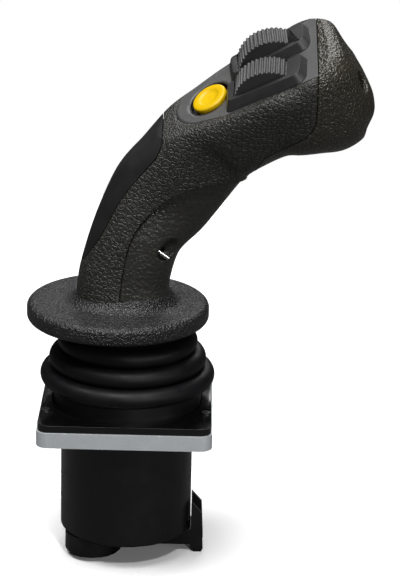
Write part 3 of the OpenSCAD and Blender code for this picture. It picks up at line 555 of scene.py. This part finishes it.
def draw_in(bm, depth, low, high, layer=4 * MM):
    """Moves a shell towards the grip's middle, by nothing under low and by depth over high."""
    middle = {}
    for node in ("rear_shell", "front_shell"):
        for v in frame["nodes"][node].data.vertices:
            middle.setdefault(round(v.co.z / layer), []).append(v.co)
    for v in bm.verts:
        share = min(1.0, max(0.0, (v.co.z - low) / (high - low)))
        near = middle[round(v.co.z / layer)]
        inward = sum(near, Vector()) / len(near) - v.co
        inward.z = 0.0
        v.co += inward.normalized() * depth * share * share * (3 - 2 * share)


def smooth_moulding(node, name, finish_name, sizes, rounds=10, set_back=0.0):
    """A lofted moulding of the grip with its flats smoothed out."""
    bm = copy_mesh(node)
    shorten(bm, sizes.mesh_step)
    relax(bm, rounds)
    if set_back:
        draw_in(bm, set_back, sizes.lip_low, sizes.lip_high)
    obj = finish(as_object(bm, name), finish_name)
    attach(obj, body_of(node))
    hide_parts(node)
    return obj


def edged(node, name, finish_name, width, segments=2):
    """A CAD shape with its hard edges rounded."""
    bm = copy_mesh(node)
    bmesh.ops.dissolve_limit(bm, angle_limit=FLAT_ANGLE, verts=bm.verts, edges=bm.edges)
    obj = finish(as_object(bm, name), finish_name)
    bevel = obj.modifiers.new("edges", "BEVEL")
    bevel.width = width
    bevel.segments = segments
    bevel.limit_method = "ANGLE"
    bevel.angle_limit = EDGE_ANGLE
    bevel.harden_normals = True
    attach(obj, body_of(node))
    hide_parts(node)
    return obj


def joined_rings(rings, closed=False):
    """A skin through rings of points, and back to the first ring where it is closed."""
    bm = bmesh.new()
    rows = [[bm.verts.new(p) for p in ring] for ring in rings]
    count = len(rings[0])
    for lower, upper in zip(rows, rows[1:] + rows[:1] if closed else rows[1:]):
        for k in range(count):
            m = (k + 1) % count
            bm.faces.new((lower[k], lower[m], upper[m], upper[k]))
    return bm


def lathed(line, closed=False):
    """A line of radii and heights turned round the Z axis."""
    return joined_rings([[(r * c, r * s, z) for c, s in TURN] for r, z in line], closed)


def outline_of(nodes, low, high, half_width=3 * MM, blur=4):
    """The outline of CAD nodes between two heights: a point for each step of TURN."""
    places = [v.co for n in nodes for v in frame["nodes"][n].data.vertices if low < v.co.z < high]
    middle = sum(places, Vector()) / len(places)
    around = []
    for c, s in TURN:
        reach = [
            (p.x - middle.x) * c + (p.y - middle.y) * s
            for p in places
            if abs((p.x - middle.x) * s - (p.y - middle.y) * c) < half_width
        ]
        around.append(max(reach))
    count = len(around)
    near = range(-blur, blur + 1)
    even = [sum(around[(k + n) % count] for n in near) / len(near) for k in range(count)]
    return [(middle.x + r * c, middle.y + r * s) for r, (c, s) in zip(even, TURN)]


def body_of(node):
    """The body that a CAD node rides on."""
    for body, members in frame["record"]["behaviour"]["bodies"].items():
        if node in members:
            return body
    raise ValueError("no body holds " + node)


def settings(context):
    """The sizes and the colours that the panel shows."""
    return context.scene.joystick_sizes, context.scene.joystick_colours


# ---------------------------------------------------------------- operators


class JOYSTICK_OT_finishes(bpy.types.Operator):
    """Build the finishes that all pieces take"""

    bl_idname = "joystick.finishes"
    bl_label = "Finishes"

    def execute(self, context):
        sizes, colours = settings(context)
        build_finishes(sizes, colours)
        return {"FINISHED"}


class JOYSTICK_OT_grip(bpy.types.Operator):
    """Build the grip's mouldings, head cap and palm pad"""

    bl_idname = "joystick.grip"
    bl_label = "Grip"

    def execute(self, context):
        sizes, _ = settings(context)
        smooth_moulding("rear_shell", "grip_rear_moulding", "grip_rear", sizes)
        smooth_moulding(
            "front_shell", "grip_front_moulding", "grip_front", sizes, set_back=sizes.lip_depth
        )
        smooth_moulding("head_cap", "grip_head_cap", "head_cap_skin", sizes, 40)
        smooth_moulding("palm_pad", "grip_palm_pad", "pad_rubber", sizes)
        return {"FINISHED"}


class JOYSTICK_OT_controls(bpy.types.Operator):
    """Build the face plate, bezels, rollers and push button"""

    bl_idname = "joystick.controls"
    bl_label = "Controls"

    # the button's skin from its dish to its side: in from its radius, down from its top, in mm
    cap_profile = (
        (6.6, 0.86),
        (5.0, 0.72),
        (4.1, 0.4),
        (3.6, 0.1),
        (3.2, 0.0),
        (1.5, 0.02),
        (0.8, 0.12),
        (0.3, 0.4),
        (0.06, 0.8),
        (0.0, 1.3),
        (0.0, 2.1),
        (0.4, 2.3),
    )
    dish_depth = 0.9 * MM
    cap_crown = 3.1 * MM  # how far the CAD cap stands over the plate
    cap_foot = 5.1 * MM  # from the CAD cap's top to its underside
    cap_overhang = 0.3 * MM
    stem_radius = 3 * MM
    pin_cut = 0.36  # share of the neck pin's length that is left off

    def execute(self, context):
        sizes, _ = settings(context)
        edge = sizes.edge_round
        smooth_moulding("face_plate", "head_face_plate", "plate_satin", sizes, 4)
        for side in ("near", "far"):
            edged(side + "_bezel", side + "_roller_bezel", "bezel_satin", edge, 3)
            edged(side + "_roller", side + "_thumb_roller", "roller_satin", edge * 0.6)
        self.button(sizes)
        edged("button_bezel", "button_well", "well_black", edge * 0.5)
        self.neck_pin()
        return {"FINISHED"}

    def button(self, sizes):
        """A dished cap on its stem, standing a little over the plate"""
        out = -Vector(next(j["axis"] for j in frame["joints"] if j["name"] == "button_press"))
        places = np.array([v.co for v in frame["nodes"]["button_cap"].data.vertices])
        side = out.orthogonal().normalized()
        axes = np.array([side, out.cross(side), out])
        low, high = ((places @ axes.T).min(0).tolist(), (places @ axes.T).max(0).tolist())
        middle = (low[0] + high[0]) / 2 * side + (low[1] + high[1]) / 2 * out.cross(side)
        radius = (high[0] - low[0]) / 2 + self.cap_overhang
        top = high[2] - self.cap_crown + sizes.button_lift
        foot = high[2] - self.cap_foot
        line = [
            (TINY, top - self.dish_depth),
            *((radius - inward * MM, top - down * MM) for inward, down in self.cap_profile),
            (radius - self.cap_profile[-1][0] * MM, foot),
            (self.stem_radius, foot),
            (self.stem_radius, low[2]),
            (TINY, low[2]),
        ]
        rings = [
            [middle + r * (c * side + s * out.cross(side)) + h * out for c, s in TURN]
            for r, h in line
        ]
        obj = finish(as_object(joined_rings(rings), "push_button"), "button_gloss")
        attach(obj, "button")
        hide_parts("button_cap")
        self.spring(out)

    def spring(self, out):
        """The coil under the cap, which rides on the lever"""
        bm = copy_mesh("button_spring")
        obj = finish(as_object(bm, "button_return_spring"), "steel_bright")
        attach(obj, "lever")
        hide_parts("button_spring")
        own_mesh(obj)

    def neck_pin(self):
        """The bright pin in the neck's pocket, with its open end kept inside the pocket"""
        bm = copy_mesh("neck_cross_pin")
        places = [v.co.copy() for v in bm.verts]
        start = min(places, key=lambda p: p.x)
        end = max(places, key=lambda p: p.x)
        along = (end - start).normalized()
        for v in bm.verts:
            v.co -= along * ((v.co - start).dot(along) * self.pin_cut)
        obj = finish(as_object(bm, "neck_pocket_pin"), "steel_bright")
        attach(obj, "lever")
        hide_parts("neck_cross_pin")


class JOYSTICK_OT_hand_rest(bpy.types.Operator):
    """Build the hand rest with the flare that the grip's foot stands in"""

    bl_idname = "joystick.hand_rest"
    bl_label = "Hand rest"

    foot_gap = 0.15 * MM  # between the flare and the grip's foot
    foot_width = 8 * MM  # flat border of the underside
    hollow_slope = 2.5 * MM  # width of the slope from the border into the hollow
    hub_radius = 29 * MM  # the hub in the hollow: at its foot
    hub_flat = 24 * MM  # and at its flat

    def execute(self, context):
        sizes, _ = settings(context)
        low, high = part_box("hand_rest")
        radius = (high.y - low.y) / 2
        foot = outline_of(("rear_shell", "front_shell"), high.z + 0.5 * MM, high.z + 3 * MM)
        top = high.z - sizes.rest_top
        under = top - sizes.rest_thickness
        hollow = under + sizes.rest_hollow
        round_top, round_low = sizes.rim_round, sizes.rim_round * 0.8
        disc, lever = Vector(((low.x + high.x) / 2, 0, 0)), Vector()

        def circle(r, z, centre=disc):
            return [(centre.x + r * c, centre.y + r * s, z) for c, s in TURN]

        rings = self.flare(sizes, foot, top, high.z)
        flat = circle(radius - round_top, top)
        halfway = [((x + u) / 2, (y + v) / 2, top) for (x, y, _), (u, v, _) in zip(rings[-1], flat)]
        rings += [halfway, flat]
        for k in range(1, 7):
            inward, down = 1 - math.sin(math.radians(15 * k)), 1 - math.cos(math.radians(15 * k))
            rings.append(circle(radius - round_top * inward, top - round_top * down))
        for k in range(7):
            inward, up = 1 - math.cos(math.radians(15 * k)), 1 - math.sin(math.radians(15 * k))
            rings.append(circle(radius - round_low * inward, under + round_low * up))
        rings += [
            circle(radius - self.foot_width, under),
            circle(radius - self.foot_width - self.hollow_slope, hollow),
            circle(self.hub_radius, hollow),
            circle(self.hub_flat, under, lever),
            circle(sizes.rest_collar, under, lever),
            circle(sizes.rest_collar, low.z, lever),
            circle(sizes.rest_bore, low.z, lever),
            circle(sizes.rest_bore, top, lever),
        ]
        obj = finish(as_object(joined_rings(rings, closed=True), "hand_rest_disc"), "rest_skin")
        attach(obj, "lever")
        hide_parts("hand_rest")
        return {"FINISHED"}

    def flare(self, sizes, foot, top, crest):
        """Rings from the grip's foot out to the disc, which climb highest on the finger side"""
        rings = []
        for share in (0.0, 0.06, 0.14, 0.25, 0.38, 0.54, 0.74, 1.0):
            reach = self.foot_gap + sizes.flare_width * share
            ring = []
            for (c, s), (x, y) in zip(TURN, foot):
                climb = 0.35 + 0.65 * max(0.0, c * 0.8 - s * 0.6)
                rise = (crest - top + sizes.flare_rise * climb) * (1 - share) ** 2.4
                ring.append((x + reach * c, y + reach * s, top + rise))
            rings.append(ring)
        return rings


class JOYSTICK_OT_boot(bpy.types.Operator):
    """Build the rubber boot in two halves that meet in the valley over the lowest fold"""

    bl_idname = "joystick.boot"
    bl_label = "Boot"

    def execute(self, context):
        sizes, _ = settings(context)
        tube = sizes.fold_tube
        _, frame_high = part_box("boot_frame")
        low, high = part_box("rubber_boot")

        def fold(k, start, end, steps=18):
            """The round of fold k, counted from the foot, from one angle to another."""
            mid_r = sizes.fold_radius - tube - k * sizes.fold_step
            mid_z = sizes.fold_height + k * sizes.fold_rise
            turns = (math.radians(start + (end - start) * n / steps) for n in range(steps + 1))
            return [(mid_r + tube * math.cos(a), mid_z + tube * math.sin(a)) for a in turns]

        def valley(below, above):
            """The point between two folds, drawn in."""
            radius, height = ((a + b) / 2 for a, b in zip(below[-1], above[0]))
            return radius - sizes.valley_depth, height

        skirt, collar = sizes.skirt_radius, sizes.collar_radius
        # the halves meet in the valley over the lowest fold
        first = fold(0, -112, 132)
        second = fold(1, -108, 132)
        third = fold(2, -108, 112)
        meeting = valley(first, second)
        # each half is a line of radii and heights, here from the frame up to the lowest fold
        lower = [
            (skirt, low.z + 0.3 * MM),
            (skirt, frame_high.z),
            (skirt - 0.5 * MM, frame_high.z + 3 * MM),
            (skirt - 1.2 * MM, first[0][1] - 1.6 * MM),
            (skirt - 1.4 * MM, first[0][1] - 0.6 * MM),
            *first,
            meeting,
        ]
        # and here over two more folds into the collar on the lever
        upper = [
            meeting,
            *second,
            valley(second, third),
            *third,
            (collar + 7.9 * MM, third[-1][1] + 1.6 * MM),
            (collar + 2.4 * MM, high.z - 0.8 * MM),
            (collar + 0.6 * MM, high.z - 1.4 * MM),
            (collar, high.z - 3.2 * MM),
        ]
        split = Vector((0, 0, meeting[1]))
        foot, neck = Vector((0, 0, frame_high.z)), Vector((0, 0, third[-1][1]))
        for name, line, pair, ends in (
            ("boot_lower_half", lower, ("base", "gimbal"), (foot, split)),
            ("boot_upper_half", upper, ("gimbal", "lever"), (split, neck)),
        ):
            bm = lathed(line)
            bmesh.ops.recalc_face_normals(bm, faces=bm.faces)
            bmesh.ops.solidify(bm, geom=bm.faces[:], thickness=sizes.boot_skin)
            obj = finish(as_object(bm, name), "boot_rubber")
            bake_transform(obj)
            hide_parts("rubber_boot")
        self.lip(sizes, frame_high.z)
        return {"FINISHED"}

    def lip(self, sizes, level):
        """The lip round the boot frame's mouth, with a rounded inner edge"""
        inner, outer, foot = sizes.skirt_radius + 0.3 * MM, sizes.mouth_radius, level - 2 * MM
        line = [
            (outer, foot),
            (inner, foot),
            (inner, level - 0.5 * MM),
            (inner + 0.15 * MM, level - 0.15 * MM),
            (inner + 0.5 * MM, level),
            (outer, level),
        ]
        lip = finish(as_object(lathed(line, closed=True), "boot_frame_lip"), "frame_gloss")
        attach(lip, "base")


class JOYSTICK_OT_base(bpy.types.Operator):
    """Build the boot frame, flange, housing and sockets"""

    bl_idname = "joystick.base"
    bl_label = "Base"

    def execute(self, context):
        sizes, _ = settings(context)
        metal = sizes.metal_round
        edged("mounting_flange", "cast_flange", "flange_cast", metal, 3)
        edged("boot_frame", "boot_hold_frame", "frame_gloss", sizes.edge_round, 3)
        edged("frame_screws", "boot_frame_screws", "steel_dark", metal * 0.4)
        edged("housing", "round_housing", "housing_satin", sizes.edge_round * 0.6)
        edged("round_socket", "round_plug_socket", "housing_satin", sizes.edge_round * 0.6)
        edged("plug_socket", "latched_plug_socket", "housing_satin", sizes.edge_round * 0.6)
        return {"FINISHED"}


class JOYSTICK_OT_inside(bpy.types.Operator):
    """Give the gimbal, lever, switches, boards and every other CAD node their finishes"""

    bl_idname = "joystick.inside"
    bl_label = "Inside"

    shown = {
        "steel_bright": "gimbal_ring gimbal_pins gimbal_spring lever_shaft lever_pin lever_spring"
        " cap_screw near_axle far_axle near_roller_spring far_roller_spring",
        "steel_dark": "housing_screws board_screws",
        "flange_cast": "clamp_sleeve",
        "bronze_sinter": "flange_bushes gimbal_bushes",
        "gold_plate": "round_socket_pins plug_socket_pins",
        "board_resist": "sensor_board grip_board",
        "chip_epoxy": "sensor_chips button_switch",
        "ivory_plastic": "magnet_holder",
        "magnet_sinter": "magnet",
    }
    replaced = {
        "steel_bright": "neck_cross_pin button_spring",
        "grip_rear": "rear_shell",
        "grip_front": "front_shell",
        "head_cap_skin": "head_cap",
        "pad_rubber": "palm_pad",
        "plate_satin": "face_plate",
        "bezel_satin": "near_bezel far_bezel",
        "roller_satin": "near_roller far_roller",
        "button_gloss": "button_cap",
        "well_black": "button_bezel",
        "rest_skin": "hand_rest",
        "boot_rubber": "rubber_boot",
        "frame_gloss": "boot_frame",
        "steel_dark": "frame_screws",
        "flange_cast": "mounting_flange",
        "housing_satin": "housing round_socket plug_socket",
    }

    def execute(self, context):
        done = set()
        for table in (self.shown, self.replaced):
            for name, members in table.items():
                for node in members.split():
                    finish(frame["nodes"][node], name)
                    done.add(node)
        if done != set(frame["nodes"]):
            raise RuntimeError("no finish for " + ", ".join(set(frame["nodes"]) - done))
        return {"FINISHED"}


class JOYSTICK_OT_stage(bpy.types.Operator):
    """Build the pale floor, the soft lights, the white surround and the camera"""

    bl_idname = "joystick.stage"
    bl_label = "Stage"

    floor_gap = 0.2 * MM
    floor_glow = 0.08  # share of the floor's colour that lights the joystick from below
    surround_glow = 0.04
    white = (1.0, 1.0, 1.0, 1.0)

    def execute(self, context):
        sizes, colours = settings(context)
        scene = context.scene
        low, high = cad_bounds
        middle = (low + high) / 2
        self.floor(sizes, colours, low.z)
        self.surround(scene)
        for name, place, size, power in (
            ("top_light", (-0.3, -0.2, 1.6), 1.4, 46.0),
            ("key_light", (0.3, -1.1, 1.4), 0.16, 11.0),
            ("left_light", (-1.5, -0.9, 0.3), 0.25, 0.4),
            ("right_light", (1.4, -0.9, 0.35), 0.3, 2.4),
            ("front_light", (0.5, -1.5, 0.55), 0.12, 6.5),
            ("rim_light", (0.2, 1.3, 1.1), 0.9, 9.0),
        ):
            self.light(name, Vector(place) + middle, middle, size, power)
        self.camera(scene, sizes)
        scene.view_settings.view_transform = "Standard"
        return {"FINISHED"}

    def floor(self, sizes, colours, level):
        """A square that is pale to the camera and dim to the joystick"""
        half = sizes.floor_width / 2
        mesh = bpy.data.meshes.new("studio_floor")
        height = level - self.floor_gap
        corners = [(x * half, y * half, height) for x, y in ((-1, -1), (1, -1), (1, 1), (-1, 1))]
        mesh.from_pydata(corners, [], [(0, 1, 2, 3)])
        obj = bpy.data.objects.new("studio_floor", mesh)
        bpy.context.scene.collection.objects.link(obj)
        made = bpy.data.materials.new("studio_floor")
        made.use_nodes = True
        skin = made.node_tree.nodes["Principled BSDF"]
        seen = made.node_tree.nodes.new("ShaderNodeLightPath").outputs["Is Camera Ray"]
        dim = (*(c * self.floor_glow for c in colours.floor), 1.0)
        shade = blend_colour(made.node_tree, seen, dim, (*colours.floor, 1.0))
        made.node_tree.links.new(shade, skin.inputs["Base Color"])
        skin.inputs["Roughness"].default_value = 0.9
        skin.inputs["Specular IOR Level"].default_value = 0.1
        mesh.materials.append(made)

    def surround(self, scene):
        """White behind the joystick, and a faint even light on it"""
        world = bpy.data.worlds.new("studio_surround")
        scene.world = world
        world.use_nodes = True
        tree = world.node_tree
        tree.nodes.clear()
        seen = tree.nodes.new("ShaderNodeLightPath").outputs["Is Camera Ray"]
        dim, bright = (
            add(tree, "ShaderNodeBackground", {"Color": self.white, "Strength": glow}).outputs[0]
            for glow in (self.surround_glow, 1.0)
        )
        mix = add(tree, "ShaderNodeMixShader", {0: seen, 1: dim, 2: bright})
        out = tree.nodes.new("ShaderNodeOutputWorld")
        tree.links.new(mix.outputs[0], out.inputs[0])

    def light(self, name, place, aim, size, power):
        """A square lamp that faces the joystick"""
        lamp = bpy.data.lights.new(name, "AREA")
        lamp.size = size
        lamp.energy = power
        obj = bpy.data.objects.new(name, lamp)
        bpy.context.scene.collection.objects.link(obj)
        obj.location = place
        obj.rotation_euler = (aim - place).to_track_quat("-Z", "Y").to_euler()

    def camera(self, scene, sizes):
        """Looks at a point as high over the panel as the base reaches under it"""
        lift, roll = sizes.camera_lift, sizes.camera_roll
        level = Vector((1, 0, 0))
        rise = Vector((0, math.sin(lift), math.cos(lift)))
        back = Vector((0, -math.cos(lift), math.sin(lift)))
        right = math.cos(roll) * level + math.sin(roll) * rise
        up = math.cos(roll) * rise - math.sin(roll) * level
        aim = Vector((sizes.camera_aim, 0, -cad_bounds[0].z))
        view = bpy.data.cameras.new("studio_camera")
        view.lens = sizes.camera_lens
        view.sensor_width = 36.0
        obj = bpy.data.objects.new("studio_camera", view)
        scene.collection.objects.link(obj)
        turn = Matrix((right, up, back)).transposed().to_4x4()
        obj.matrix_world = Matrix.Translation(aim + sizes.camera_distance * back) @ turn
        scene.camera = obj


class JOYSTICK_PT_panel(bpy.types.Panel):
    """Lists the joystick's operators and settings"""

    bl_idname = "JOYSTICK_PT_panel"
    bl_label = "Joystick"
    bl_space_type = "VIEW_3D"
    bl_region_type = "UI"
    bl_category = "Joystick"

    def draw(self, context):
        for operator in OPERATORS:
            self.layout.operator(operator.bl_idname)
        for group in settings(context):
            column = self.layout.column()
            for key in group.__annotations__:
                column.prop(group, key)


OPERATORS = (
    JOYSTICK_OT_finishes,
    JOYSTICK_OT_grip,
    JOYSTICK_OT_controls,
    JOYSTICK_OT_hand_rest,
    JOYSTICK_OT_boot,
    JOYSTICK_OT_base,
    JOYSTICK_OT_inside,
    JOYSTICK_OT_stage,
)
CLASSES = (JoystickSizes, JoystickColours, *OPERATORS, JOYSTICK_PT_panel)


def register():
    """Registers the settings, operators and panel."""
    for cls in CLASSES:
        bpy.utils.register_class(cls)
    bpy.types.Scene.joystick_sizes = PointerProperty(type=JoystickSizes)
    bpy.types.Scene.joystick_colours = PointerProperty(type=JoystickColours)


def unregister():
    """Takes back what register() did."""
    del bpy.types.Scene.joystick_colours
    del bpy.types.Scene.joystick_sizes
    for cls in reversed(CLASSES):
        bpy.utils.unregister_class(cls)


def main():
    """Builds the joystick and its stage."""
    register()
    bpy.ops.joystick.finishes()
    bpy.ops.joystick.grip()
    bpy.ops.joystick.controls()
    bpy.ops.joystick.hand_rest()
    bpy.ops.joystick.boot()
    bpy.ops.joystick.base()
    bpy.ops.joystick.inside()
    bpy.ops.joystick.stage()


if __name__ == "__main__":
    main()
